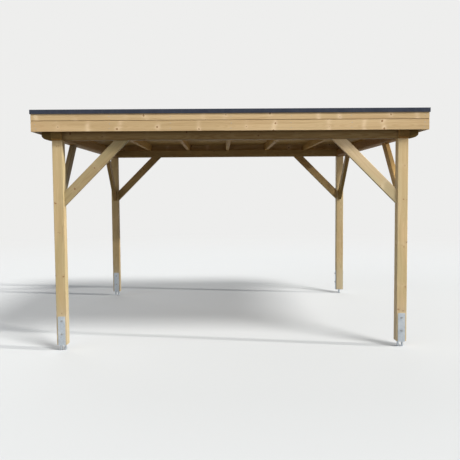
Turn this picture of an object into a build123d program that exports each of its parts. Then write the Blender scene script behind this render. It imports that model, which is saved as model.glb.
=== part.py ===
from build123d import *
import os

# Flat-roofed timber carport: four posts on steel anchors, lapped beams with shaped
# heads, corner braces, rafters and a boarded roof inside a two-board fascia.
# Millimetres. X runs along the front, Y from front to rear, Z up. The origin lies on
# the ground, in the middle of the four posts.

os.makedirs("parts", exist_ok=True)

# Posts
post_size = 100
post_spacing_x = 3340
post_spacing_y = 3200
post_foot = 60
post_top = 2050
post_rounding = 5

# Post anchors: a steel saddle on two round legs
plate_width = 70
plate_thickness = 5
plate_top = 340
plate_corner = 6
bolt_hole = 11
bolt_heights = (165, 295)
leg_diameter = 20
leg_spacing = 44

# Beams: the headers run along X, the side beams along Y, lapped over each post
beam_width = 100
beam_height = 95
beam_rounding = 15
head_reach_x = 96
head_reach_y = 40
head_curve_x = 90
head_curve_y = 38
head_curve_z = 46
head_lip = 16

# Corner braces, mitred at 45 degrees
brace_leg = 635
brace_width = 100
brace_thickness = 45
brace_chamfer = 3

# Rafters and roof boards
rafter_width = 45
rafter_height = 90
rafter_spacing = 575
rafter_chamfer = 3
inner_rafters = 5
deck_thickness = 18

# Roof edge: overhang from a post's outer face to the fascia's outer face
overhang_x = 174
overhang_y = 80
fascia_thickness = 20
fascia_board = 98
fascia_gap = 5
fascia_tongue = 10
fascia_lap = 8
fascia_rounding = 3
fascia_drop = 19
kerb_width = 45
roofing_thickness = 3
trim_sheet = 2
trim_face = 40
trim_stand_off = 8
trim_cover = 45

# Places that follow from the sizes above
post_x = post_spacing_x / 2
post_y = post_spacing_y / 2
edge_x = post_x + post_size / 2 + overhang_x
edge_y = post_y + post_size / 2 + overhang_y
back_x = edge_x - fascia_thickness
back_y = edge_y - fascia_thickness
saddle_bottom = post_foot - plate_thickness
beam_top = post_top + beam_height
lap_level = post_top + beam_height / 2
rafter_top = beam_top + rafter_height
deck_top = rafter_top + deck_thickness
fascia_bottom = beam_top - fascia_drop
fascia_joint = fascia_bottom + fascia_board + fascia_gap
fascia_top = fascia_joint + fascia_board
roofing_top = fascia_top + roofing_thickness

rows = {"front": -1, "rear": 1}
sides = {"left": -1, "right": 1}
corners = [(f"{row}_{side}", sides[side], rows[row]) for row in rows for side in sides]


def export(piece, name):
    """Label a finished piece and write its file."""
    piece.part.label = name
    export_step(piece.part, f"parts/{name}.step")


# Posts, with rounded long edges
for corner, sx, sy in corners:
    with BuildPart() as post:
        with BuildSketch(Plane((sx * post_x, sy * post_y, post_foot))):
            RectangleRounded(post_size, post_size, post_rounding)
        extrude(amount=post_top - post_foot)
    export(post, f"post_{corner}")

# Post anchors. The plates hold the front and rear faces of three posts. The rear
# right anchor is turned a quarter, so that its plates hold the left and right faces.
for corner, sx, sy in corners:
    foot = Vector(sx * post_x, sy * post_y, 0)
    turned = corner == "rear_right"
    across = Vector(1, 0, 0) if turned else Vector(0, 1, 0)
    along = Vector(0, -1, 0) if turned else Vector(1, 0, 0)
    with BuildPart() as anchor:
        with BuildSketch(Plane(foot, x_dir=across, z_dir=along)):
            with Locations((0, (plate_top + saddle_bottom) / 2)):
                Rectangle(post_size + 2 * plate_thickness, plate_top - saddle_bottom)
            with Locations((0, (plate_top + post_foot) / 2)):
                Rectangle(post_size, plate_top - post_foot, mode=Mode.SUBTRACT)
        extrude(amount=plate_width / 2, both=True)
        plate_ends = anchor.edges().filter_by(Axis(foot, across)).group_by(Axis.Z)[-1]
        fillet(plate_ends, plate_corner)
        with BuildSketch(Plane(foot, x_dir=along, z_dir=-across)):
            with Locations(*[(0, height) for height in bolt_heights]):
                Circle(bolt_hole / 2)
        extrude(amount=post_size, both=True, mode=Mode.SUBTRACT)
        with BuildSketch(Plane(foot, x_dir=along, z_dir=(0, 0, 1))):
            with GridLocations(leg_spacing, 0, 2, 1):
                Circle(leg_diameter / 2)
        extrude(amount=saddle_bottom)
    export(anchor, f"anchor_{corner}")


def beam_solid(side_plane, end_plane, nose, curve, lip, lap_at, keep_lower_half):
    """Make one beam: its side outline, its rounded section and its two laps.

    Each head sweeps up from the post's face in a quarter ellipse, as long as
    `curve`. A thin lip on top of it runs on to the back of the fascia.
    """
    with BuildPart() as beam:
        with BuildSketch(side_plane):
            with BuildLine():
                for end in (-1, 1):
                    Polyline(
                        (0, beam_top),
                        (end * lip, beam_top),
                        (end * lip, beam_top - head_lip),
                        (end * nose, beam_top - head_lip),
                        (end * nose, post_top + head_curve_z),
                    )
                    EllipticalCenterArc(
                        center=(end * (nose - curve), post_top + head_curve_z),
                        x_radius=curve,
                        y_radius=head_curve_z,
                        start_angle=270 if end > 0 else 180,
                        arc_size=90,
                    )
                    Line((end * (nose - curve), post_top), (0, post_top))
            make_face()
        extrude(amount=beam_width / 2, both=True)
        with BuildSketch(end_plane) as section:
            with Locations((0, (post_top + beam_top) / 2)):
                Rectangle(beam_width, beam_height)
            fillet(section.vertices().group_by(Axis.Y)[0], beam_rounding)
        extrude(amount=lip, both=True, mode=Mode.INTERSECT)
        with BuildSketch(side_plane):
            lap_middle = (beam_top + lap_level) / 2 if keep_lower_half else (post_top + lap_level) / 2
            with Locations((-lap_at, lap_middle), (lap_at, lap_middle)):
                Rectangle(beam_width, beam_height / 2)
        extrude(amount=beam_width / 2, both=True, mode=Mode.SUBTRACT)
    return beam


# Headers: the lower half of each lap
for row, sy in rows.items():
    header = beam_solid(
        side_plane=Plane((0, sy * post_y, 0), x_dir=(1, 0, 0), z_dir=(0, -1, 0)),
        end_plane=Plane((0, sy * post_y, 0), x_dir=(0, 1, 0), z_dir=(1, 0, 0)),
        nose=post_x + post_size / 2 + head_reach_x,
        curve=head_curve_x,
        lip=back_x,
        lap_at=post_x,
        keep_lower_half=True,
    )
    export(header, f"header_{row}")

# Side beams: the upper half of each lap
for side, sx in sides.items():
    side_beam = beam_solid(
        side_plane=Plane((sx * post_x, 0, 0), x_dir=(0, 1, 0), z_dir=(1, 0, 0)),
        end_plane=Plane((sx * post_x, 0, 0), x_dir=(1, 0, 0), z_dir=(0, -1, 0)),
        nose=post_y + post_size / 2 + head_reach_y,
        curve=head_curve_y,
        lip=back_y,
        lap_at=post_y,
        keep_lower_half=False,
    )
    export(side_beam, f"side_beam_{side}")


def brace_solid(plane, reach):
    """Make one brace in the plane of its beam, from the post's face at `reach`.

    The sketch's origin is the middle of the beam at ground level, and the brace
    rises towards that middle.
    """
    end_cut = brace_width * 2**0.5
    with BuildPart() as brace:
        with BuildSketch(plane):
            with BuildLine():
                Polyline(
                    (reach, post_top - brace_leg),
                    (reach, post_top - brace_leg + end_cut),
                    (reach - brace_leg + end_cut, post_top),
                    (reach - brace_leg, post_top),
                    close=True,
                )
            make_face()
        extrude(amount=brace_thickness / 2, both=True)
        long_edges = brace.edges().filter_by(lambda edge: edge.length > brace_leg / 2)
        chamfer(long_edges, brace_chamfer)
    return brace


# Braces: one under the header and one under the side beam at each post
for corner, sx, sy in corners:
    header_brace = brace_solid(
        Plane((0, sy * post_y, 0), x_dir=(sx, 0, 0), z_dir=(0, -sx, 0)),
        post_x - post_size / 2,
    )
    export(header_brace, f"header_brace_{corner}")
    side_brace = brace_solid(
        Plane((sx * post_x, 0, 0), x_dir=(0, sy, 0), z_dir=(sy, 0, 0)),
        post_y - post_size / 2,
    )
    export(side_brace, f"side_brace_{corner}")

# Rafters: the inner ones evenly spaced, the outer two against the side fascia
inner_span = rafter_spacing * (inner_rafters - 1)
inner_x = [rafter_spacing * i - inner_span / 2 for i in range(inner_rafters)]
outer_x = back_x - rafter_width / 2
for number, x in enumerate([-outer_x, *inner_x, outer_x], start=1):
    with BuildPart() as rafter:
        with BuildSketch(Plane((x, 0, 0), x_dir=(1, 0, 0), z_dir=(0, -1, 0))) as rafter_section:
            with Locations((0, (beam_top + rafter_top) / 2)):
                Rectangle(rafter_width, rafter_height)
            chamfer(rafter_section.vertices().group_by(Axis.Y)[0], rafter_chamfer)
        extrude(amount=back_y, both=True)
    export(rafter, f"rafter_{number}")

# Roof boards, as one plate between the fascia boards
with BuildPart() as roof_deck:
    with BuildSketch(Plane.XY.offset(rafter_top)):
        Rectangle(2 * back_x, 2 * back_y)
    extrude(amount=deck_thickness)
export(roof_deck, "roof_deck")

# Kerbs: battens that stand on the edge of the roof boards
for side, sx in sides.items():
    with BuildPart() as side_kerb:
        with BuildSketch(Plane((sx * (back_x - kerb_width / 2), 0, deck_top))):
            Rectangle(kerb_width, 2 * back_y)
        extrude(amount=fascia_top - deck_top)
    export(side_kerb, f"kerb_{side}")
for row, sy in rows.items():
    with BuildPart() as end_kerb:
        with BuildSketch(Plane((0, sy * (back_y - kerb_width / 2), deck_top))):
            Rectangle(2 * (back_x - kerb_width), kerb_width)
        extrude(amount=fascia_top - deck_top)
    export(end_kerb, f"kerb_{row}")

# Roofing: a shallow tray of sheet on the boards, up the kerbs and over their tops
tray_x = 2 * (back_x - kerb_width)
tray_y = 2 * (back_y - kerb_width)
with BuildPart() as roofing:
    with BuildSketch(Plane.XY.offset(deck_top)):
        Rectangle(tray_x, tray_y)
    extrude(amount=roofing_top - deck_top)
    with BuildSketch(Plane.XY.offset(deck_top + roofing_thickness)):
        Rectangle(tray_x - 2 * roofing_thickness, tray_y - 2 * roofing_thickness)
    extrude(amount=roofing_top - deck_top, mode=Mode.SUBTRACT)
    with BuildSketch(Plane.XY.offset(fascia_top)):
        Rectangle(2 * edge_x, 2 * edge_y)
        Rectangle(tray_x, tray_y, mode=Mode.SUBTRACT)
    extrude(amount=roofing_thickness)
export(roofing, "roofing")


def fascia_solid(outline, outward, run, edge, half_length):
    """Make one fascia board from its section, with its front edges rounded.

    The section's X axis points outward from the board's back face.
    """
    back = outward * (edge - fascia_thickness)
    with BuildPart() as board:
        with BuildSketch(Plane(back, x_dir=outward, z_dir=run)):
            with BuildLine():
                Polyline(*outline, close=True)
            make_face()
        extrude(amount=half_length, both=True)
        long_edges = board.edges().filter_by(Axis(back, run))
        fillet(long_edges.group_by(Axis(back, outward))[-1], fascia_rounding)
    return board


# Fascia: two boards high, with a rebated joint. A tongue on the back of the lower
# board stands behind the upper board. The front and rear boards run through and
# cover the ends of the side boards.
tongue_top = fascia_joint + fascia_lap
rebate_top = tongue_top + fascia_gap
fascia_outlines = {
    "lower": [
        (0, fascia_bottom),
        (fascia_thickness, fascia_bottom),
        (fascia_thickness, fascia_joint - fascia_gap),
        (fascia_tongue, fascia_joint - fascia_gap),
        (fascia_tongue, tongue_top),
        (0, tongue_top),
    ],
    "upper": [
        (fascia_tongue, fascia_joint),
        (fascia_thickness, fascia_joint),
        (fascia_thickness, fascia_top),
        (0, fascia_top),
        (0, rebate_top),
        (fascia_tongue, rebate_top),
    ],
}
for course, outline in fascia_outlines.items():
    for side, sx in sides.items():
        side_fascia = fascia_solid(outline, Vector(sx, 0, 0), Vector(0, -sx, 0), edge_x, back_y)
        export(side_fascia, f"fascia_{side}_{course}")
    for row, sy in rows.items():
        end_fascia = fascia_solid(outline, Vector(0, sy, 0), Vector(sy, 0, 0), edge_y, edge_x)
        export(end_fascia, f"fascia_{row}_{course}")


def trim_solid(outward, run, edge, mitre_at):
    """Make one length of roof-edge trim, mitred at both ends.

    The sketch's X axis points outward from the fascia's face at `edge`, and the
    ends are cut at 45 degrees through the fascia's corners at `mitre_at`.
    """
    face_bottom = roofing_top + trim_sheet - trim_face
    reach = mitre_at + trim_stand_off
    with BuildPart() as trim:
        with BuildSketch(Plane(outward * edge, x_dir=outward, z_dir=run)):
            with BuildLine():
                Polyline(
                    (-trim_cover, roofing_top),
                    (-trim_cover, roofing_top + trim_sheet),
                    (trim_stand_off, roofing_top + trim_sheet),
                    (trim_stand_off, face_bottom),
                    (0, face_bottom),
                    (0, face_bottom + trim_sheet),
                    (trim_stand_off - trim_sheet, face_bottom + trim_sheet),
                    (trim_stand_off - trim_sheet, roofing_top),
                    close=True,
                )
            make_face()
        extrude(amount=reach, both=True)
        for end in (-1, 1):
            corner_point = outward * edge + run * (end * mitre_at)
            split(bisect_by=Plane(corner_point, z_dir=outward - run * end), keep=Keep.TOP)
    return trim


# Roof-edge trim: four mitred lengths of folded sheet
for side, sx in sides.items():
    side_trim = trim_solid(Vector(sx, 0, 0), Vector(0, -sx, 0), edge_x, edge_y)
    export(side_trim, f"trim_{side}")
for row, sy in rows.items():
    end_trim = trim_solid(Vector(0, sy, 0), Vector(sy, 0, 0), edge_y, edge_x)
    export(end_trim, f"trim_{row}")
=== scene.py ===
import math
import random
from typing import NamedTuple

import bmesh
import bpy
from mathutils import Matrix, Vector


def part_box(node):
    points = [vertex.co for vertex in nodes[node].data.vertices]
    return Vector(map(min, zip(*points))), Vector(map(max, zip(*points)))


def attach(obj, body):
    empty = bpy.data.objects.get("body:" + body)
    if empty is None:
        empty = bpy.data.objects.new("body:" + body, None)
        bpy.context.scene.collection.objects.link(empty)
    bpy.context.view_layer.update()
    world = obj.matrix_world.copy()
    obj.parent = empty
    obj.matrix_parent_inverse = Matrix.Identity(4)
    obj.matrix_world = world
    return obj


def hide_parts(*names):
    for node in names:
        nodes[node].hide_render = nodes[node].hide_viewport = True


# The looks of a flat-roofed timber carport: planed pine, galvanised post anchors,
# a dark metal roof edge and a sheet roof covering. Metres, Z up, front towards -Y.

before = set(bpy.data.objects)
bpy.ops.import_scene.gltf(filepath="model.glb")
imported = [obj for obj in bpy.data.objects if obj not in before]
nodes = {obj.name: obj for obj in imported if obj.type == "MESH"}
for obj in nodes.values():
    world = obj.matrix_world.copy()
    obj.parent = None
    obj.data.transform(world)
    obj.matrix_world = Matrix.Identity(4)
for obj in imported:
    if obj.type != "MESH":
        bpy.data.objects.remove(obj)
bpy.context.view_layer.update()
chance = random.Random(4)

X, Y, Z = Vector((1, 0, 0)), Vector((0, 1, 0)), Vector((0, 0, 1))
ROWS = {"front": -1, "rear": 1}
SIDES = {"left": -1, "right": 1}
EDGES = {**ROWS, **SIDES}
CORNERS = [(f"{row}_{side}", SIDES[side], ROWS[row]) for row in ROWS for side in SIDES]
RAFTERS = sorted(name for name in nodes if name.startswith("rafter"))

# Within this of a line, a corner counts as lying on it
TOUCH = 0.001


def middle_of(name):
    low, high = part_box(name)
    return (low + high) / 2


def long_way_first(name):
    """The two level directions, with the one in which a node is longer first."""
    low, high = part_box(name)
    return (X, Y) if high.x - low.x > high.y - low.y else (Y, X)


# Node trees


def srgb(red, green, blue):
    """A colour written as it looks on a screen, 0 to 255, as the shader wants it."""
    shares = [value / 255 for value in (red, green, blue)]
    return (*[s / 12.92 if s < 0.04045 else ((s + 0.055) / 1.055) ** 2.4 for s in shares], 1)


class Graph:
    """A node tree, with one short call for each kind of node that the finishes use."""

    def __init__(self, tree):
        self.tree = tree

    def add(self, kind, inputs=(), **settings):
        node = self.tree.nodes.new(kind)
        for name, value in settings.items():
            setattr(node, name, value)
        for place, value in dict(inputs).items():
            self.feed(node.inputs[place], value)
        return node

    def feed(self, socket, value):
        if isinstance(value, bpy.types.NodeSocket):
            self.tree.links.new(value, socket)
        else:
            socket.default_value = value

    def math(self, operation, *values):
        return self.add("ShaderNodeMath", enumerate(values), operation=operation).outputs[0]

    def sum(self, *values):
        total = values[0]
        for value in values[1:]:
            total = self.math("ADD", total, value)
        return total

    def product(self, *values):
        total = values[0]
        for value in values[1:]:
            total = self.math("MULTIPLY", total, value)
        return total

    def length(self, x, y):
        """How long a line is that goes `x` one way and `y` square to it."""
        return self.math("SQRT", self.sum(self.product(x, x), self.product(y, y)))

    def vector(self, operation, *values):
        return self.add("ShaderNodeVectorMath", enumerate(values), operation=operation).outputs[0]

    def parts(self, vector):
        return self.add("ShaderNodeSeparateXYZ", {0: vector}).outputs

    def shares(self, color):
        return self.add("ShaderNodeSeparateColor", {0: color}).outputs

    def noise(self, vector, stretch, scale, detail=2, roughness=0.5):
        """Cloudy noise whose clouds are `stretch` times as long along each axis."""
        squeezed = self.vector("DIVIDE", vector, stretch)
        inputs = {"Vector": squeezed, "Scale": scale, "Detail": detail, "Roughness": roughness}
        return self.add("ShaderNodeTexNoise", inputs).outputs

    def between(self, value, start, end, low=0.0, high=1.0):
        """Go softly from `low` at `start` to `high` at `end`."""
        inputs = {0: value, 1: start, 2: end, 3: low, 4: high}
        return self.add("ShaderNodeMapRange", inputs, interpolation_type="SMOOTHSTEP").outputs[0]

    def hill(self, value, width):
        """1 where the value is 0, falling away to both sides within about `width`."""
        share = self.math("DIVIDE", value, width)
        return self.math("EXPONENT", self.product(share, share, -1.0))

    def mix(self, share, first, second, blend="MIX"):
        inputs = {0: share, 6: first, 7: second}
        return self.add("ShaderNodeMix", inputs, data_type="RGBA", blend_type=blend).outputs[2]


def new_material(name):
    """A material with only its surface shader, ready to be linked."""
    material = bpy.data.materials.new(name)
    material.use_nodes = True
    material.node_tree.nodes.clear()
    graph = Graph(material.node_tree)
    shader = graph.add("ShaderNodeBsdfPrincipled")
    output = graph.add("ShaderNodeOutputMaterial")
    graph.feed(output.inputs["Surface"], shader.outputs[0])
    return material, graph, shader


def place_in_object(graph):
    return graph.add("ShaderNodeTexCoord").outputs["Object"]


def coat(graph, shader, color, roughness, relief, depth, strength):
    """Link a finish to its shader, with its relief `depth` metres high."""
    inputs = {"Height": relief, "Distance": depth, "Strength": strength}
    graph.feed(shader.inputs["Base Color"], color)
    graph.feed(shader.inputs["Roughness"], roughness)
    graph.feed(shader.inputs["Normal"], graph.add("ShaderNodeBump", inputs).outputs[0])


# Planed pine. The tree works in the log's own frame: Z runs along the grain and the
# heart of the log is at X = Y = 0.

HEART_WANDER = 0.06
RING_WOBBLE = 0.007
RING_WIDTH = 0.0042
RING_BULGE = 1.5
HEARTWOOD = 0.04
HEARTWOOD_EDGE = 0.052
HEARTWOOD_UNEVENNESS = 0.012

WHORL_GAP = 0.36
WHORL_UNEVENNESS = 0.6
PALE_BAND = 0.022
BRANCH_PLACES = 6
PLACES_FILLED = 0.8
BRANCH_CLIMB = 0.3
BRANCH_SCATTER = 0.025
THIN_BRANCH, THICK_BRANCH = 0.003, 0.009
FULL_GIRTH_DEPTH = 0.06

# In radii of the branch
NO_BRANCH = 40
HALO_REACH = 2.6
SMUDGE_REACH = 4.0

FIBRES = 420
CHECK_RAYS = 9
WOOD_RELIEF = 0.0006
WOOD_GLOSS = 0.1

EARLY_WOOD = srgb(216, 190, 144)
LATE_WOOD = srgb(176, 142, 94)
HEART_WOOD = srgb(202, 168, 120)
STREAK = srgb(170, 137, 92)
TREATED = srgb(158, 158, 112)
PALE_HALO = srgb(238, 217, 176)
SMUDGE = srgb(160, 124, 78)
KNOT = srgb(160, 120, 76)
BARK = srgb(108, 78, 52)
CHECK = srgb(92, 68, 44)
END_GRAIN = srgb(178, 188, 190)


def build_pine():
    """The node group that every timber's finish is made of.

    `Place` is a point's place in the log, and `Grain` is the log's direction on the
    object. `Tint` multiplies the colour, and `Green` is how much of the tone of the
    treatment it takes. `Rings`, `Whorls` and `Checks` are how plainly the growth
    rings, the pale bands at the knots and the drying checks show.
    """
    tree = bpy.data.node_groups.new("planed pine", "ShaderNodeTree")
    inputs = {"Place": "Vector", "Grain": "Vector", "Tint": "Color", "Green": "Float",
              "Rings": "Float", "Whorls": "Float", "Checks": "Float"}
    outputs = {"Color": "Color", "Roughness": "Float", "Height": "Float"}
    for way, sockets in (("INPUT", inputs), ("OUTPUT", outputs)):
        for name, kind in sockets.items():
            tree.interface.new_socket(name, in_out=way, socket_type=f"NodeSocket{kind}")
    g = Graph(tree)
    given = g.add("NodeGroupInput").outputs
    place = given["Place"]

    # The heart wanders along the log, and the rings wobble
    slow = g.noise(place, (3, 3, 1), 1.4, 1)["Color"]
    quick = g.noise(place, (1, 1, 5), 14)["Color"]
    bent = place
    for drift, reach in ((slow, HEART_WANDER), (quick, RING_WOBBLE)):
        aside = g.vector("SUBTRACT", drift, (0.5, 0.5, 0.5))
        bent = g.vector("ADD", bent, g.vector("MULTIPLY", aside, (reach, reach, 0)))
    across, deep, along = g.parts(bent)
    radius = g.length(across, deep)
    turn = g.math("DIVIDE", g.math("ARCTAN2", deep, across), math.tau)

    # Branches leave the heart in whorls, each in one of the places round the log
    steps = g.math("DIVIDE", along, WHORL_GAP)
    inputs = {"W": steps, "Scale": 1, "Randomness": WHORL_UNEVENNESS}
    whorl = g.add("ShaderNodeTexVoronoi", inputs, voronoi_dimensions="1D").outputs
    above = g.product(g.math("SUBTRACT", steps, whorl["W"]), WHORL_GAP)
    twist, vigour = g.shares(whorl["Color"])[:2]
    sector = g.product(g.sum(turn, twist), BRANCH_PLACES)
    number = g.math("FLOORED_MODULO", g.math("FLOOR", sector), BRANCH_PLACES)
    seed = g.add("ShaderNodeCombineXYZ", {0: number, 1: whorl["W"]}).outputs[0]
    dice = g.add("ShaderNodeTexWhiteNoise", {"Vector": seed}, noise_dimensions="3D").outputs
    there, thick, high = g.shares(dice["Color"])

    # How far a point is from the middle of the nearest branch, in radii of it
    angle = g.product(g.math("SUBTRACT", g.math("FRACT", sector), 0.5), math.tau / BRANCH_PLACES)
    beside = g.product(radius, g.math("SINE", angle))
    level = g.math("SUBTRACT", above, g.product(radius, BRANCH_CLIMB))
    rise = g.math("SUBTRACT", level, g.between(high, 0, 1, -BRANCH_SCATTER, BRANCH_SCATTER))
    taper = g.between(radius, 0, FULL_GIRTH_DEPTH, 0.35, 1)
    girth = g.product(g.between(thick, 0, 1, THIN_BRANCH, THICK_BRANCH), taper)
    ragged = g.between(g.noise(place, (1, 1, 1), 90)["Fac"], 0.2, 0.8, 0.8, 1.25)
    missing = g.product(g.math("GREATER_THAN", there, PLACES_FILLED), NO_BRANCH)
    reach = g.sum(g.product(g.math("DIVIDE", g.length(rise, beside), girth), ragged), missing)
    core = g.between(reach, 1.05, 0.85)
    rim = g.product(g.between(reach, 0.7, 1.0), g.between(reach, 1.3, 1.05))
    halo = g.hill(reach, HALO_REACH)

    # The grain turns out of the surface across a whorl, which shows as a pale band,
    # and where it doesn't, the wood round a knot is dirtier
    patch = g.between(g.noise(place, (1, 1, 2), 21)["Fac"], 0.38, 0.62, 0.35, 1)
    plainly = g.between(vigour, 0.15, 0.7, 0.3, 1)
    band = g.product(g.hill(level, PALE_BAND), patch, plainly, given["Whorls"])
    smudge = g.product(g.hill(reach, SMUDGE_REACH), patch, g.math("SUBTRACT", 1.0, given["Whorls"]))

    # Growth rings, bulging round each branch, and darker in some years
    rings = g.math("DIVIDE", g.sum(radius, g.product(halo, girth, RING_BULGE)), RING_WIDTH)
    phase = g.math("FRACT", rings)
    inputs = {"W": g.math("FLOOR", rings), "Scale": 0.37}
    years = g.add("ShaderNodeTexNoise", inputs, noise_dimensions="1D").outputs["Fac"]
    late = g.product(g.between(phase, 0.35, 0.9), g.between(phase, 1.0, 0.93))
    late = g.product(late, g.between(years, 0.25, 0.75, 0.35, 0.95), given["Rings"])

    # Broad streaks and fine fibres along the grain
    streak = g.between(g.noise(bent, (1, 1, 40), 52, 3)["Fac"], 0.42, 0.78)
    broad = g.between(g.noise(bent, (1, 1, 14), 11)["Fac"], 0.3, 0.75)
    fibre = g.noise(place, (1, 1, 60), FIBRES)["Fac"]
    blotch = g.between(g.noise(place, (1, 1, 4), 5, 3)["Fac"], 0.35, 0.7)
    green = g.product(g.sum(g.product(blotch, 0.7), 0.3), given["Green"])
    uneven = g.sum(radius, g.product(broad, HEARTWOOD_UNEVENNESS))
    heart = g.between(uneven, HEARTWOOD_EDGE, HEARTWOOD)

    # Drying checks, out from the heart
    ray = g.math("SUBTRACT", g.math("FRACT", g.product(turn, CHECK_RAYS)), 0.5)
    thin = g.between(g.math("ABSOLUTE", ray), 0.02, 0.008)
    broken = g.between(g.noise(place, (1, 1, 9), 17)["Fac"], 0.56, 0.62)
    split = g.product(thin, broken, given["Checks"], g.between(radius, 0.02, 0.035))

    # Each layer over the one before, by how much of it shows
    color = EARLY_WOOD
    for share, layer in (
        (late, LATE_WOOD),
        (g.product(heart, 0.5), HEART_WOOD),
        (g.product(streak, 0.5), STREAK),
        (g.product(broad, 0.36), STREAK),
        (g.product(g.math("SUBTRACT", fibre, 0.35), 0.5), LATE_WOOD),
        (green, TREATED),
        (g.product(band, 0.55), PALE_HALO),
        (g.product(halo, 0.5, given["Whorls"]), PALE_HALO),
        (g.product(smudge, 0.6), SMUDGE),
        (core, KNOT),
        (g.product(rim, 0.6), BARK),
        (g.product(split, 0.85), CHECK),
    ):
        color = g.mix(share, color, layer)

    # Sawn ends are darker and rougher than planed faces
    inputs = {0: g.add("ShaderNodeNewGeometry").outputs["Normal"], 1: given["Grain"]}
    facing_grain = g.add("ShaderNodeVectorMath", inputs, operation="DOT_PRODUCT").outputs["Value"]
    end = g.between(g.math("ABSOLUTE", facing_grain), 0.6, 0.9)
    color = g.mix(g.product(end, 0.85), color, END_GRAIN, "MULTIPLY")
    color = g.mix(1.0, color, given["Tint"], "MULTIPLY")
    rough = g.sum(g.between(fibre, 0.3, 0.7, 0.52, 0.68), g.product(end, 0.2))
    rough = g.math("SUBTRACT", rough, g.product(core, 0.12))

    # Late wood, fibres and knots stand a little proud, and checks are deep
    proud = g.sum(g.product(late, 0.35), g.product(fibre, 0.45), g.product(core, 0.5))
    height = g.sum(proud, g.product(split, -2.5))
    result = g.add("NodeGroupOutput").inputs
    for name, value in (("Color", color), ("Roughness", rough), ("Height", height)):
        g.feed(result[name], value)
    return tree


PINE = build_pine()

# A painted shade on the heads of the headers past the side beams, and the width of its ragged edge
PAINTED_NOSE_SHADE = srgb(198, 194, 162)
NOSE_SHADE_EDGE = 0.02

# How high, how unevenly and how strongly a post turns paler towards its foot, and the colour it
# turns to
PALE_FOOT_HEIGHT = 0.5
PALE_FOOT_UNEVENNESS = 0.25
PALE_FOOT_STRENGTH = 0.4
PALE_FOOT_COLOR = srgb(206, 197, 176)

BOARD_JUMP = (0.06, 0.05, 40)
DARKEST_BOARD = 0.84


class Timber(NamedTuple):
    """A kind of timber: how it is cut from its log, and how plainly its marks show.

    `heart` is where the heart of the log lies from the timber's middle, across it
    and deep. `start` is how far up the log the first timber lies, and `step` how
    much further up each next one does, so that no two look alike.
    """

    heart: tuple
    start: float
    step: float = 0.0
    tint: tuple = (1, 1, 1)
    green: float = 0.2
    rings: float = 1.0
    whorls: float = 0.5
    checks: float = 0.0


FASCIA_LOOK = {"tint": (0.96, 0.95, 1.02), "green": 0.12, "rings": 0.35, "whorls": 1}
BRACE_LOOK = {"green": 0.5, "rings": 0.6, "whorls": 0.4}
TIMBERS = {
    "post": Timber((0.004, 0), 0.0, 3.1, green=0.35, rings=0.6, whorls=0.25, checks=1),
    "header_brace": Timber((0.035, 0.04), 41.3, 2.7, **BRACE_LOOK),
    "side_brace": Timber((0.035, 0.04), 42.7, 2.7, **BRACE_LOOK),
    "header": Timber((0.02, -0.015), 61.7, 5.3, green=0.15),
    "side_beam": Timber((0.015, 0.01), 77.1, 5.3, green=0.15),
    "rafter": Timber((0.03, 0.05), 91.3, 4.1, tint=(0.95, 0.85, 0.58), green=0.1),
    "kerb": Timber((0.02, 0.05), 7.7, tint=(0.85, 0.85, 0.85)),
    "fascia_lower": Timber((0.05, -0.01), 0.0, 11.9, **FASCIA_LOOK),
    "fascia_upper": Timber((0.05, 0.02), 5.3, 11.9, **FASCIA_LOOK),
    "roof_boards": Timber((0.03, 0.02), 19.0, tint=(0.95, 0.88, 0.60), green=0.1),
}
POST_HEART_SHIFT = (0.012, 0.03)
RAFTER_HEART_SHIFT = 0.008

# The tint of each timber that differs from its neighbours. Besides each timber's own tone,
# they hold painted light and shade: the headers, the side beams and the braces on the left
# and at the rear are darkened for the shade they stand in, and the front right braces are
# lightened for the light that falls on them.
TINTS_WITH_PAINTED_LIGHT = {
    "post_front_left": (1.02, 1.07, 1.19),
    "post_front_right": (1.10, 1.14, 1.27),
    "post_rear_left": (0.94, 0.92, 0.95),
    "post_rear_right": (1.04, 1.09, 1.21),
    "header_front": (0.45, 0.41, 0.34),
    "header_rear": (0.72, 0.72, 0.66),
    "side_beam_left": (0.60, 0.49, 0.32),
    "side_beam_right": (0.56, 0.42, 0.26),
    "header_brace_front_left": (0.72, 0.73, 0.79),
    "header_brace_front_right": (1.20, 1.25, 1.52),
    "header_brace_rear_left": (0.74, 0.66, 0.56),
    "header_brace_rear_right": (0.96, 0.91, 0.86),
    "side_brace_front_left": (0.60, 0.62, 0.70),
    "side_brace_front_right": (1.15, 0.98, 0.76),
    "side_brace_rear_left": (0.76, 0.66, 0.56),
    "side_brace_rear_right": (0.70, 0.60, 0.44),
}


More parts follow.
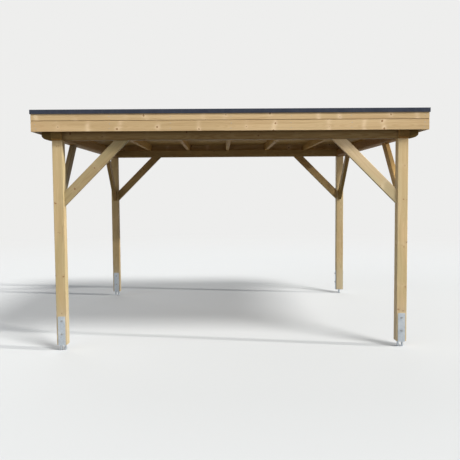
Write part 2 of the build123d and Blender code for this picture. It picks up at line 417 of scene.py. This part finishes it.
def pine(name, kind, middle, grain, across, number=0, shift=(0, 0),
         sealed=None, boards=None, splash=False):
    """Pine for the timber of a name and a kind, with its grain along `grain`.

    `across` is the direction in which the heart of the log is measured first, and
    `shift` moves the heart for this timber. `number` counts the timbers of the kind.
    `sealed` is how far out along X a painted shade starts that darkens the heads, which stand in
    the shade of the side beams and the roof edge.
    `boards` is a first edge and a pitch along Y where one piece holds many boards,
    each cut from its own log. `splash` is for a timber that stands on the ground
    and turns paler towards its foot.
    """
    timber = TIMBERS[kind]
    material, graph, shader = new_material(name)
    grain, across = grain.normalized(), across.normalized()
    turn = Matrix((across, grain.cross(across), grain))
    heart = [first + second for first, second in zip(timber.heart, shift)]
    in_log = Vector((*heart, timber.start + timber.step * number)) + turn @ middle
    place = place_in_object(graph)
    inputs = {"Vector": place, "Location": -in_log, "Rotation": turn.to_euler()}
    log = graph.add("ShaderNodeMapping", inputs).outputs[0]
    # The tint holds painted light and shade as well as the timber's own tone
    tint = (*TINTS_WITH_PAINTED_LIGHT.get(name, timber.tint), 1)
    if boards:
        first_edge, board_pitch = boards
        beyond = graph.math("SUBTRACT", graph.parts(place)[1], first_edge)
        board = graph.math("FLOOR", graph.math("DIVIDE", beyond, board_pitch))
        dice = graph.add("ShaderNodeTexWhiteNoise", {"W": board}, noise_dimensions="1D").outputs
        log = graph.vector("ADD", log, graph.vector("MULTIPLY", dice["Color"], BOARD_JUMP))
        darkest = (*[share * DARKEST_BOARD for share in timber.tint], 1)
        tint = graph.mix(dice["Value"], tint, darkest)
    inputs = {"Place": log, "Grain": grain, "Tint": tint, "Green": timber.green,
              "Rings": timber.rings, "Whorls": timber.whorls, "Checks": timber.checks}
    wood = graph.add("ShaderNodeGroup", inputs, node_tree=PINE).outputs
    color = wood["Color"]
    # Painted shade on the heads past the side beams, with a ragged edge
    if sealed:
        reach = graph.math("ABSOLUTE", graph.parts(place)[0])
        uneven_edge = graph.product(graph.noise(place, (1, 1, 1), 60)["Fac"], NOSE_SHADE_EDGE)
        share = graph.between(graph.sum(reach, uneven_edge), sealed, sealed + NOSE_SHADE_EDGE)
        color = graph.mix(share, color, PAINTED_NOSE_SHADE, "MULTIPLY")
    # Paler towards the foot
    if splash:
        uneven = graph.noise(place, (1, 1, 3), 30, 3)["Fac"]
        drop = graph.product(uneven, PALE_FOOT_UNEVENNESS)
        height = graph.math("SUBTRACT", graph.parts(place)[2], drop)
        share = graph.between(height, PALE_FOOT_HEIGHT, 0.0, 0, PALE_FOOT_STRENGTH)
        color = graph.mix(share, color, PALE_FOOT_COLOR)
    coat(graph, shader, color, wood["Roughness"], wood["Height"], depth=WOOD_RELIEF, strength=0.5)
    shader.inputs["Specular IOR Level"].default_value = WOOD_GLOSS
    return material


# Metal and roofing

ZINC = srgb(188, 195, 202)
ZINC_SPANGLE = srgb(166, 175, 184)
ZINC_BLOOM = srgb(206, 210, 212)
SPANGLES = 130

PLATING = srgb(166, 168, 168)
PLATING_DIRT = srgb(112, 108, 101)
TURNING_MARKS = 1800

PAINT = srgb(36, 42, 57)
PAINT_DUST = srgb(52, 58, 75)
RAIN_STREAK = srgb(74, 77, 84)
ORANGE_PEEL = 900

DARK_GRANULE = srgb(62, 64, 67)
PALE_GRANULE = srgb(98, 100, 102)
ROOF_DUST = srgb(112, 110, 106)
PUDDLE_MARK = srgb(146, 141, 130)
GRANULES = 420

BITUMEN_SHINE = srgb(34, 34, 36)
BITUMEN_SKIN = srgb(66, 65, 64)


def galvanised_steel():
    """Dull hot-dip zinc with faint spangle and pale bloom."""
    material, graph, shader = new_material("galvanised steel")
    place = place_in_object(graph)
    cells = graph.add("ShaderNodeTexVoronoi", {"Vector": place, "Scale": SPANGLES}).outputs
    spangle = graph.shares(cells["Color"])[0]
    bloom = graph.noise(place, (1, 1, 1.6), 22, 4, 0.6)["Fac"]
    fine = graph.noise(place, (1, 1, 1), 600)["Fac"]
    color = graph.mix(graph.between(spangle, 0, 1, 0, 0.5), ZINC, ZINC_SPANGLE)
    color = graph.mix(graph.between(bloom, 0.45, 0.75, 0, 0.55), color, ZINC_BLOOM)
    rough = graph.between(spangle, 0, 1, 0.34, 0.46)
    rough = graph.sum(rough, graph.between(bloom, 0.4, 0.8, 0, 0.2))
    relief = graph.sum(graph.product(bloom, 0.7), graph.product(fine, 0.3))
    coat(graph, shader, color, rough, relief, depth=0.0004, strength=0.5)
    shader.inputs["Metallic"].default_value = 0.75
    return material


def plated_steel():
    """Zinc-plated screws and bolts, with fine turning marks and a little dirt."""
    material, graph, shader = new_material("plated steel")
    place = place_in_object(graph)
    dirt = graph.noise(place, (1, 1, 1), 260, 3, 0.6)["Fac"]
    marks = graph.noise(place, (1, 1, 1), TURNING_MARKS, 1)["Fac"]
    color = graph.mix(graph.between(dirt, 0.5, 0.75, 0, 0.6), PLATING, PLATING_DIRT)
    rough = graph.between(dirt, 0.4, 0.8, 0.3, 0.6)
    coat(graph, shader, color, rough, marks, depth=0.0001, strength=0.3)
    shader.inputs["Metallic"].default_value = 0.9
    return material


def painted_trim():
    """Anthracite paint on folded sheet, with dust and faint streaks from rain."""
    material, graph, shader = new_material("anthracite trim")
    place = place_in_object(graph)
    dust = graph.noise(place, (1, 1, 1), 9, 4, 0.6)["Fac"]
    streaks = graph.noise(place, (1, 1, 12), 60, 3)["Fac"]
    peel = graph.noise(place, (1, 1, 1), ORANGE_PEEL, 1)["Fac"]
    color = graph.mix(graph.between(dust, 0.4, 0.75, 0, 0.5), PAINT, PAINT_DUST)
    color = graph.mix(graph.between(streaks, 0.5, 0.8, 0, 0.3), color, RAIN_STREAK)
    rough = graph.between(dust, 0.3, 0.8, 0.42, 0.6)
    coat(graph, shader, color, rough, peel, depth=0.0001, strength=0.4)
    shader.inputs["Specular IOR Level"].default_value = 0.3
    return material


def roofing_sheet():
    """Mineral-faced roofing sheet: fine dark granules, dust and dried puddle marks."""
    material, graph, shader = new_material("roofing sheet")
    place = place_in_object(graph)
    cells = graph.add("ShaderNodeTexVoronoi", {"Vector": place, "Scale": GRANULES}).outputs
    granule = graph.shares(cells["Color"])[0]
    dust = graph.noise(place, (1, 1, 1), 2.2, 5, 0.6)["Fac"]
    puddle = graph.noise(place, (1, 1, 1), 1.1, 2, 0.4)["Fac"]
    shore = graph.product(graph.between(puddle, 0.5, 0.56), graph.between(puddle, 0.62, 0.565))
    color = graph.mix(granule, DARK_GRANULE, PALE_GRANULE)
    color = graph.mix(graph.between(dust, 0.4, 0.8, 0, 0.22), color, ROOF_DUST)
    color = graph.mix(graph.product(shore, 0.1), color, PUDDLE_MARK)
    rough = graph.between(puddle, 0.5, 0.6, 0.92, 0.8)
    coat(graph, shader, color, rough, cells["Distance"], depth=0.0006, strength=0.6)
    return material


def bitumen():
    """The dark bead that is pressed out along a lap of the roofing sheet."""
    material, graph, shader = new_material("bitumen bead")
    skin = graph.noise(place_in_object(graph), (1, 1, 1), 90, 3, 0.6)["Fac"]
    color = graph.mix(graph.between(skin, 0.45, 0.75), BITUMEN_SHINE, BITUMEN_SKIN)
    rough = graph.between(skin, 0.3, 0.7, 0.3, 0.65)
    coat(graph, shader, color, rough, skin, depth=0.0008, strength=0.6)
    return material


STEEL = galvanised_steel()
PLATED = plated_steel()
TRIM = painted_trim()
ROOFING = roofing_sheet()
BITUMEN = bitumen()


# Modelling helpers


def take(piece):
    """Make a piece the only one that is selected, and the active one."""
    bpy.ops.object.select_all(action="DESELECT")
    piece.select_set(True)
    bpy.context.view_layer.objects.active = piece


def settle(piece):
    """Put a piece's place, turn and size into its mesh."""
    take(piece)
    bpy.ops.object.transform_apply(location=True, rotation=True, scale=True)


def edit(piece, kind, wanted):
    """Open a piece for editing, with only its wanted corners, edges or faces selected."""
    take(piece)
    bpy.ops.object.mode_set(mode="EDIT")
    bpy.ops.mesh.select_mode(type=kind)
    bpy.ops.mesh.select_all(action="DESELECT")
    mesh = bmesh.from_edit_mesh(piece.data)
    for item in {"VERT": mesh.verts, "EDGE": mesh.edges, "FACE": mesh.faces}[kind]:
        item.select_set(wanted(item))
    bmesh.update_edit_mesh(piece.data)


def close():
    """End the editing of a piece."""
    bpy.ops.object.mode_set(mode="OBJECT")


def anything(item):
    return True


def faces_up(face):
    return face.normal.z > 0.9


def direction(edge):
    return (edge.verts[1].co - edge.verts[0].co).normalized()


def lies_level(edge):
    return abs(direction(edge).z) < 0.1


def block(name, low, high):
    """A block between two corners, ready to be shaped."""
    bpy.ops.object.select_all(action="DESELECT")
    bpy.ops.mesh.primitive_cube_add(size=1, location=(low + high) / 2)
    piece = bpy.context.object
    piece.name = name
    piece.scale = high - low
    settle(piece)
    return piece


def turned(name, sides, radius, low, high, rounding):
    """A round or many-sided pin along Z, with its rims rounded."""
    bpy.ops.object.select_all(action="DESELECT")
    bpy.ops.mesh.primitive_cylinder_add(
        vertices=sides, radius=radius, depth=high - low, location=(0, 0, (low + high) / 2)
    )
    piece = bpy.context.object
    piece.name = name
    settle(piece)
    edit(piece, "EDGE", lies_level)
    bpy.ops.mesh.bevel(offset=rounding, segments=2, affect="EDGES")
    close()
    return piece


def flat_sheet(name, x0, x1, y0, y1, z):
    """One flat face, ready to be extruded along its edges."""
    bpy.ops.object.select_all(action="DESELECT")
    bpy.ops.mesh.primitive_plane_add(size=1, location=((x0 + x1) / 2, (y0 + y1) / 2, z))
    piece = bpy.context.object
    piece.name = name
    piece.scale = (x1 - x0, y1 - y0, 1)
    settle(piece)
    return piece


def thicken(piece, thickness):
    """Give a sheet its thickness, on the side that it faces."""
    take(piece)
    solid = piece.modifiers.new("thickness", "SOLIDIFY")
    solid.thickness = thickness
    solid.offset = 1
    bpy.ops.object.modifier_apply(modifier=solid.name)


def joined(name, pieces):
    """Join pieces into one, under a name."""
    bpy.ops.object.select_all(action="DESELECT")
    for piece in pieces:
        piece.select_set(True)
    bpy.context.view_layer.objects.active = pieces[0]
    if len(pieces) > 1:
        bpy.ops.object.join()
    pieces[0].name = name
    pieces[0].data.name = name
    return pieces[0]


def copies(pattern, name, placings):
    """Copy a small piece to each placing and join the copies into one piece."""
    made = []
    for placing in placings:
        copy = pattern.copy()
        copy.data = pattern.data.copy()
        bpy.context.scene.collection.objects.link(copy)
        copy.data.transform(placing)
        made.append(copy)
    return joined(name, made)


def facing(point, outward):
    """The placing that puts a pattern made facing +Z at a point, facing outward.

    It is spun by chance, as a fastener is left.
    """
    turn = outward.to_track_quat("Z", "Y").to_matrix().to_4x4()
    spin = Matrix.Rotation(chance.uniform(0, math.tau), 4, "Z")
    return Matrix.Translation(point) @ turn @ spin


def drop(pattern):
    """Remove a pattern once its copies are made."""
    mesh = pattern.data
    bpy.data.objects.remove(pattern)
    bpy.data.meshes.remove(mesh)


SHARPEST_SMOOTHED = math.radians(40)


def dress(piece, material, slot, *replaced):
    """Finish a new piece: its material and the node that it stands for. `slot` is not used."""
    piece.data.materials.clear()
    piece.data.materials.append(material)
    take(piece)
    bpy.ops.object.shade_smooth_by_angle(angle=SHARPEST_SMOOTHED)
    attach(piece, "root")
    if replaced:
        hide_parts(*replaced)


# Nodes whose solids stay: timbers, each with its own log, and metal and roofing


def dress_node(name, material):
    """Give a node its finish in every slot, with its solid left as it is."""
    for slot in nodes[name].material_slots:
        slot.material = material


def dress_timber(name, kind, grain, across, number=0, **marks):
    """Give a timber its own pine, cut as its kind is."""
    dress_node(name, pine(name, kind, middle_of(name), grain, across, number, **marks))


for number, (corner, sx, sy) in enumerate(CORNERS):
    shift = (POST_HEART_SHIFT[0] * sx, POST_HEART_SHIFT[1] * sy)
    dress_timber(f"post_{corner}", "post", Z, X, number, shift=shift, splash=True)
    dress_timber(f"header_brace_{corner}", "header_brace", Z - X * sx, Y, number)
    dress_timber(f"side_brace_{corner}", "side_brace", Z - Y * sy, X, number)
    dress_node(f"anchor_{corner}", STEEL)

# The heads of the headers past the side beams' outer face take a painted shade
beam_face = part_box("side_beam_right")[1].x
for number, row in enumerate(ROWS):
    dress_timber(f"header_{row}", "header", X, Y, number, sealed=beam_face)
for number, side in enumerate(SIDES):
    dress_timber(f"side_beam_{side}", "side_beam", Y, X, number)
for number, rafter in enumerate(RAFTERS, 1):
    dress_timber(rafter, "rafter", Y, X, number, shift=(RAFTER_HEART_SHIFT * (number % 3), 0))

for number, edge in enumerate(EDGES):
    along, out = long_way_first(f"fascia_{edge}_lower")
    dress_timber(f"fascia_{edge}_lower", "fascia_lower", along, out, number)
    dress_timber(f"fascia_{edge}_upper", "fascia_upper", along, out, number)
    dress_timber(f"kerb_{edge}", "kerb", along, Z)
    dress_node(f"trim_{edge}", TRIM)
dress_node("roofing", ROOFING)


# Roof boards, with a V joint between neighbours on the underside

BOARD_COVER = 0.121
BOARD_SEAM = 0.0008
V_JOINT = 0.004

deck_low, deck_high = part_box("roof_deck")
board_count = round((deck_high.y - deck_low.y) / BOARD_COVER)
pitch = (deck_high.y - deck_low.y) / board_count
board_end = Vector((deck_high.x, deck_low.y + pitch - BOARD_SEAM, deck_high.z))


def long_lower_edge(edge):
    return abs(direction(edge).x) > 0.9 and edge.verts[0].co.z < deck_low.z + TOUCH


roof_board = block("roof board", deck_low, board_end)
edit(roof_board, "EDGE", long_lower_edge)
bpy.ops.mesh.bevel(offset=V_JOINT, segments=1, affect="EDGES")
close()
placings = [Matrix.Translation(Y * pitch * i) for i in range(board_count)]
roof_boards = copies(roof_board, "roof_boards", placings)
drop(roof_board)
boards = (deck_low.y, pitch)
wood = pine("roof boards", "roof_boards", middle_of("roof_deck"), X, Z, boards=boards)
dress(roof_boards, wood, "roof_boards", "roof_deck")


# Bolts through the post anchors, at two depths below the top of the plates

BOLT_DEPTHS = (0.175, 0.045)
BOLT_FLATS = 0.017
BOLT_CHAMFER = 0.0009
BOLT_HEAD = 0.0064
HEAD_RIM = 0.0008
HEAD_DISH = 0.0003
NUT_HEIGHT = 0.008
THREAD_RADIUS = 0.005
THREAD_REACH = 0.006
THREAD_TURNS = 4
WASHER_RADIUS = 0.0105
WASHER_THICKNESS = 0.002
WASHER_ROUNDING = 0.0004

# In shares of one turn of the thread
THREAD_OVERLAP = 0.1
THREAD_ROUNDING = 0.35

hex_radius = BOLT_FLATS / math.sqrt(3)


def washer():
    return turned("washer", 32, WASHER_RADIUS, 0, WASHER_THICKNESS, WASHER_ROUNDING)


def bolt_head():
    """A washer and a chamfered six-sided head, facing up."""
    top = WASHER_THICKNESS + BOLT_HEAD
    head = turned("head", 6, hex_radius, WASHER_THICKNESS, top, BOLT_CHAMFER)
    edit(head, "FACE", faces_up)
    bpy.ops.mesh.inset(thickness=HEAD_RIM)
    bpy.ops.transform.translate(value=(0, 0, -HEAD_DISH))
    close()
    return joined("bolt head", [washer(), head])


def bolt_nut():
    """A washer, a nut and the end of the thread that stands out of it, facing up."""
    top = WASHER_THICKNESS + NUT_HEIGHT
    nut = turned("nut", 6, hex_radius, WASHER_THICKNESS, top, BOLT_CHAMFER)
    turn = THREAD_REACH / THREAD_TURNS
    thread = []
    for i in range(THREAD_TURNS):
        low, high = top + turn * (i - THREAD_OVERLAP), top + turn * (i + 1)
        thread.append(turned("turn", 16, THREAD_RADIUS, low, high, turn * THREAD_ROUNDING))
    return joined("bolt nut", [washer(), nut, *thread])


head_pattern, nut_pattern = bolt_head(), bolt_nut()
for corner, sx, sy in CORNERS:
    anchor = f"anchor_{corner}"
    low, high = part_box(anchor)
    middle = middle_of(anchor)
    through = long_way_first(anchor)[0]
    outward = through * (sx if through == X else sy)
    reach = (high - low).dot(through) / 2
    heads, nuts = [], []
    for depth in BOLT_DEPTHS:
        centre = Vector((middle.x, middle.y, high.z - depth))
        heads.append(facing(centre + outward * reach, outward))
        nuts.append(facing(centre - outward * reach, -outward))
    ends = [copies(head_pattern, "heads", heads), copies(nut_pattern, "nuts", nuts)]
    dress(joined(f"bolts_{corner}", ends), PLATED, "galvanised_steel")
drop(head_pattern)
drop(nut_pattern)


# Weld beads where the round legs meet the saddles

LEG_RADIUS = 0.01
LEG_SPACING = 0.044
SADDLE_THICKNESS = 0.005
WELD = 0.003
WELD_RIPPLE = 0.0007

# In shares of the bead's own radius
WELD_OUT = 0.3
WELD_DOWN = 0.4
WELD_HEIGHT = 0.8

bpy.ops.object.select_all(action="DESELECT")
bpy.ops.mesh.primitive_torus_add(
    major_radius=LEG_RADIUS + WELD * WELD_OUT, minor_radius=WELD,
    major_segments=40, minor_segments=10
)
weld = bpy.context.object
edit(weld, "VERT", anything)
bpy.ops.transform.resize(value=(1, 1, WELD_HEIGHT))
bpy.ops.transform.vertex_random(offset=WELD_RIPPLE, seed=3)
close()
for corner, sx, sy in CORNERS:
    middle = middle_of(f"anchor_{corner}")
    along = long_way_first(f"anchor_{corner}")[1]
    saddle_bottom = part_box(f"post_{corner}")[0].z - SADDLE_THICKNESS
    centre = Vector((middle.x, middle.y, saddle_bottom - WELD * WELD_DOWN))
    placings = [Matrix.Translation(centre + along * LEG_SPACING / 2 * side) for side in (-1, 1)]
    dress(copies(weld, f"welds_{corner}", placings), STEEL, "galvanised_steel")
drop(weld)


# Countersunk screws in the fascia and the braces

SCREW_RADIUS = 0.0042
SCREW_SEAT = 0.0006
SCREW_PROUD = 0.0002

# The six-pointed hole, in shares of the screw's radius. The waist is how far every
# second corner is drawn in, and the step is from one corner to the next.
HOLE_RIM = 0.45
HOLE_REACH = 0.6
HOLE_WAIST = 0.72
HOLE_STEP = math.radians(30)

FASCIA_SCREWS = (("lower", 0.026), ("lower", 0.072), ("upper", 0.033))
SIDE_SCREW_PITCH = 0.56
SIDE_SCREW_END = 0.06
STRAY_ALONG, STRAY_UP = 0.006, 0.003
BRACE_SCREWS = ((0.055, -0.009), (0.095, 0.009))


def between_points(vert):
    """Every second corner of the hole, which is drawn in between the six points."""
    step = round(math.atan2(vert.co.y, vert.co.x) / HOLE_STEP)
    in_hole = vert.co.z > 0 and vert.co.xy.length < SCREW_RADIUS * HOLE_REACH
    return in_hole and step % 2 == 1


def hole_floor(face):
    return faces_up(face) and face.calc_center_median().xy.length < TOUCH


def countersunk_screw():
    """A round head with a six-pointed hole, facing up."""
    head = turned("screw", 12, SCREW_RADIUS, -SCREW_SEAT, SCREW_PROUD, SCREW_PROUD)
    edit(head, "FACE", faces_up)
    bpy.ops.mesh.inset(thickness=SCREW_RADIUS * HOLE_RIM)
    close()
    edit(head, "VERT", between_points)
    bpy.ops.transform.resize(value=(HOLE_WAIST, HOLE_WAIST, 1))
    close()
    edit(head, "FACE", hole_floor)
    bpy.ops.mesh.extrude_region_move(TRANSFORM_OT_translate={"value": (0, 0, -SCREW_SEAT)})
    close()
    return head


screw = countersunk_screw()
rafter_places = sorted(middle_of(rafter).x for rafter in RAFTERS)
for edge, sign in EDGES.items():
    low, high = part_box(f"fascia_{edge}_lower")
    along, out = long_way_first(f"fascia_{edge}_lower")
    face = out * (high if sign > 0 else low).dot(out)
    if edge in ROWS:
        stations = rafter_places
    else:
        half = (high - low).y / 2 - SIDE_SCREW_END
        count = round(2 * half / SIDE_SCREW_PITCH)
        stations = [-half + 2 * half * i / count for i in range(count + 1)]
    placings = []
    for station in stations:
        for course, above_edge in FASCIA_SCREWS:
            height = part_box(f"fascia_{edge}_{course}")[0].z + above_edge
            point = face + along * (station + chance.uniform(-STRAY_ALONG, STRAY_ALONG))
            point += Z * (height + chance.uniform(-STRAY_UP, STRAY_UP))
            placings.append(facing(point, out * sign))
    dress(copies(screw, f"fascia_screws_{edge}", placings), PLATED, "galvanised_steel")

for kind in ("header_brace", "side_brace"):
    for corner, sx, sy in CORNERS:
        brace = f"{kind}_{corner}"
        low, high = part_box(brace)
        inward, side = (-X * sx, Y) if kind == "header_brace" else (-Y * sy, X)
        half = (high.z - low.z) / 2
        foot = middle_of(brace) - inward * half - Z * half
        top = middle_of(brace) + inward * half + Z * half
        up = (inward + Z).normalized()
        outward = (inward - Z).normalized()
        placings = []
        for from_end, aside in BRACE_SCREWS:
            placings.append(facing(foot + up * from_end + side * aside, outward))
            placings.append(facing(top - up * from_end + side * aside, outward))
        dress(copies(screw, f"{kind}_screws_{corner}", placings), PLATED, "galvanised_steel")
drop(screw)


# Roofing: cap sheets with laps across the field, and a strip turned up at the kerb

ROOFING_THICKNESS = 0.003
CAP_THICKNESS = 0.0025
CAP_STRIPS = 4
CAP_LAP = 0.08
LAP_RAMP = 0.014
BEAD = 0.004
BEAD_ROUNDING = 0.0005
BEAD_FLATNESS = 0.7
UPSTAND_FIELD = 0.14
UPSTAND_FOLD = 0.012
UPSTAND_TOP_GAP = 0.009

roof_low, roof_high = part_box("roofing")
field_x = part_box("kerb_right")[0].x - ROOFING_THICKNESS
field_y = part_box("kerb_rear")[0].y - ROOFING_THICKNESS
field_top = roof_low.z + ROOFING_THICKNESS
upstand_foot = field_top + 2 * CAP_THICKNESS


def lap_bead(y):
    """A flattened bead across the roof, along the edge of a lap."""
    bead = turned("bead", 8, BEAD / 2, -field_x, field_x, BEAD_ROUNDING)
    edit(bead, "VERT", anything)
    bpy.ops.mesh.subdivide(number_cuts=1)
    bpy.ops.transform.resize(value=(BEAD_FLATNESS, 1, 1))
    close()
    lay_down = Matrix.Rotation(math.pi / 2, 4, "Y")
    bead.data.transform(Matrix.Translation((0, y, field_top + CAP_THICKNESS)) @ lay_down)
    return bead


cover = 2 * field_y / CAP_STRIPS
strips, beads = [], []
for i in range(CAP_STRIPS):
    start = -field_y + cover * i
    end = min(start + cover + CAP_LAP, field_y)
    lift = CAP_THICKNESS if i else 0
    strip = flat_sheet("strip", -field_x, field_x, start, start + CAP_LAP, field_top + lift)
    for width, fall in ((LAP_RAMP, -lift), (end - start - CAP_LAP - LAP_RAMP, 0)):
        edge_y = max(vert.co.y for vert in strip.data.vertices)
        edit(strip, "EDGE", lambda edge: min(v.co.y for v in edge.verts) > edge_y - TOUCH)
        bpy.ops.mesh.extrude_edges_move(TRANSFORM_OT_translate={"value": (0, width, fall)})
        close()
    thicken(strip, CAP_THICKNESS)
    strips.append(strip)
    if i:
        beads.append(lap_bead(start))
dress(joined("roofing_caps", strips), ROOFING, "roofing_sheet")
dress(joined("lap_beads", beads), BITUMEN, "roofing_sheet")


def at_kerb(vert):
    return abs(vert.co.x) > field_x - TOUCH or abs(vert.co.y) > field_y - TOUCH


def outer_edge(edge):
    return edge.is_boundary and all(at_kerb(vert) for vert in edge.verts)


def folded_edge(edge):
    return all(at_kerb(vert) and vert.co.z < upstand_foot + TOUCH for vert in edge.verts)


upstand = flat_sheet("upstand", -field_x, field_x, -field_y, field_y, upstand_foot)
edit(upstand, "FACE", anything)
bpy.ops.mesh.inset(thickness=UPSTAND_FIELD)
bpy.ops.mesh.delete(type="FACE")
close()
edit(upstand, "EDGE", outer_edge)
rise = roof_high.z - UPSTAND_TOP_GAP - upstand_foot
bpy.ops.mesh.extrude_edges_move(TRANSFORM_OT_translate={"value": (0, 0, rise)})
close()
edit(upstand, "EDGE", folded_edge)
bpy.ops.mesh.bevel(offset=UPSTAND_FOLD, segments=4, affect="EDGES")
bpy.ops.mesh.select_all(action="SELECT")
bpy.ops.mesh.normals_make_consistent(inside=False)
close()
thicken(upstand, CAP_THICKNESS)
dress(upstand, ROOFING, "roofing_sheet")


# Stage

FLOOR = srgb(210, 213, 216)
FLOOR_SIZE = 240
FLOOR_NEAR, FLOOR_FAR = 5, 14
NEAR_BOUNCE = srgb(80, 71, 58)
FAR_BOUNCE = srgb(150, 146, 140)
BOUNCE_NEAR, BOUNCE_FAR = 3, 7
BACKGROUND = srgb(238, 238, 237)
SKY_LIGHT = (0.95, 0.975, 1, 1)
HORIZON_STRENGTH = 0.75
ZENITH_STRENGTH = 0.1
ZENITH_START = 0.7


def seen(graph):
    """1 for a look at a surface, straight, in a gloss or through glass, and 0 for its light."""
    path = graph.add("ShaderNodeLightPath").outputs
    looked_at = graph.math("MAXIMUM", path["Is Camera Ray"], path["Is Glossy Ray"])
    return graph.math("MAXIMUM", looked_at, path["Is Transmission Ray"])


def either(graph, share, first, second):
    """The first shader where the share is 0, and the second where it is 1."""
    return graph.add("ShaderNodeMixShader", {0: share, 1: first, 2: second}).outputs[0]


def stage_material():
    """A pale floor that throws back little light.

    It throws back least near the object, where the roof shades it, and more
    further out. The floor melts into the backdrop, and it hides nothing from below.
    """
    material = bpy.data.materials.new("floor")
    material.use_nodes = True
    material.node_tree.nodes.clear()
    graph = Graph(material.node_tree)
    distance = graph.length(*graph.parts(place_in_object(graph))[:2])
    near = graph.add("ShaderNodeBsdfDiffuse", {"Color": FLOOR}).outputs[0]
    far = graph.add("ShaderNodeEmission", {"Color": BACKGROUND, "Strength": 1}).outputs[0]
    pale = either(graph, graph.between(distance, FLOOR_NEAR, FLOOR_FAR), near, far)
    bounce = graph.mix(graph.between(distance, BOUNCE_NEAR, BOUNCE_FAR), NEAR_BOUNCE, FAR_BOUNCE)
    dull = graph.add("ShaderNodeBsdfDiffuse", {"Color": bounce}).outputs[0]
    above = either(graph, seen(graph), dull, pale)
    from_below = graph.add("ShaderNodeNewGeometry").outputs["Backfacing"]
    clear = graph.add("ShaderNodeBsdfTransparent").outputs[0]
    output = graph.add("ShaderNodeOutputMaterial")
    graph.feed(output.inputs["Surface"], either(graph, from_below, above, clear))
    return material


def studio_sky():
    """Soft light that is strongest at the horizon, behind a plain pale backdrop."""
    world = bpy.data.worlds.new("studio")
    world.use_nodes = True
    world.node_tree.nodes.clear()
    graph = Graph(world.node_tree)
    height = graph.parts(graph.add("ShaderNodeTexCoord").outputs["Generated"])[2]
    glow = graph.between(height, 0.0, ZENITH_START, HORIZON_STRENGTH, ZENITH_STRENGTH)
    soft = graph.add("ShaderNodeBackground", {"Color": SKY_LIGHT, "Strength": glow}).outputs[0]
    pale = graph.add("ShaderNodeBackground", {"Color": BACKGROUND, "Strength": 1}).outputs[0]
    output = graph.add("ShaderNodeOutputWorld")
    graph.feed(output.inputs["Surface"], either(graph, seen(graph), soft, pale))
    return world


bpy.ops.object.select_all(action="DESELECT")
bpy.ops.mesh.primitive_plane_add(size=FLOOR_SIZE, location=(0, 0, 0))
floor = bpy.context.object
floor.name = "floor"
floor.data.materials.append(stage_material())
bpy.context.scene.world = studio_sky()


# Light and camera


def lamp(name, azimuth, elevation, strength, softness, color):
    """A soft lamp far away. Azimuth 0 is in front, and 90 is on the right."""
    light = bpy.data.lights.new(name, "SUN")
    light.energy = strength
    light.angle = math.radians(softness)
    light.color = color
    holder = bpy.data.objects.new(name, light)
    bpy.context.scene.collection.objects.link(holder)
    a, e = math.radians(azimuth), math.radians(elevation)
    towards = Vector((math.sin(a) * math.cos(e), -math.cos(a) * math.cos(e), math.sin(e)))
    holder.rotation_euler = towards.to_track_quat("Z", "Y").to_euler()


lamp("key", azimuth=78, elevation=19.6, strength=2.5, softness=2, color=(1, 0.965, 0.89))
lamp("glow", azimuth=44, elevation=50, strength=2.75, softness=20, color=(1, 0.975, 0.93))
lamp("fill", azimuth=-50, elevation=25, strength=0.7, softness=60, color=(0.97, 0.98, 1))
lamp("rear fill", azimuth=190, elevation=30, strength=0.9, softness=60, color=(0.98, 0.985, 1))

EYE = Vector((-0.1002, -7.6752, 1.5669))
PAN, PITCH, ROLL = math.radians(-0.808), math.radians(-3.728), math.radians(0.435)
FOCAL_PIXELS = 620.6
PHOTO_WIDTH = 460
SENSOR = 36

camera = bpy.data.objects.new("camera", bpy.data.cameras.new("camera"))
bpy.context.scene.collection.objects.link(camera)
camera.data.sensor_width = SENSOR
camera.data.lens = FOCAL_PIXELS * SENSOR / PHOTO_WIDTH
camera.location = EYE
level = Matrix.Rotation(math.radians(90), 3, "X")
look = Matrix.Rotation(PAN, 3, "Z") @ Matrix.Rotation(PITCH, 3, "X") @ Matrix.Rotation(ROLL, 3, "Y")
camera.rotation_euler = (look @ level).to_euler()
bpy.context.scene.camera = camera
bpy.context.scene.view_settings.view_transform = "Standard"
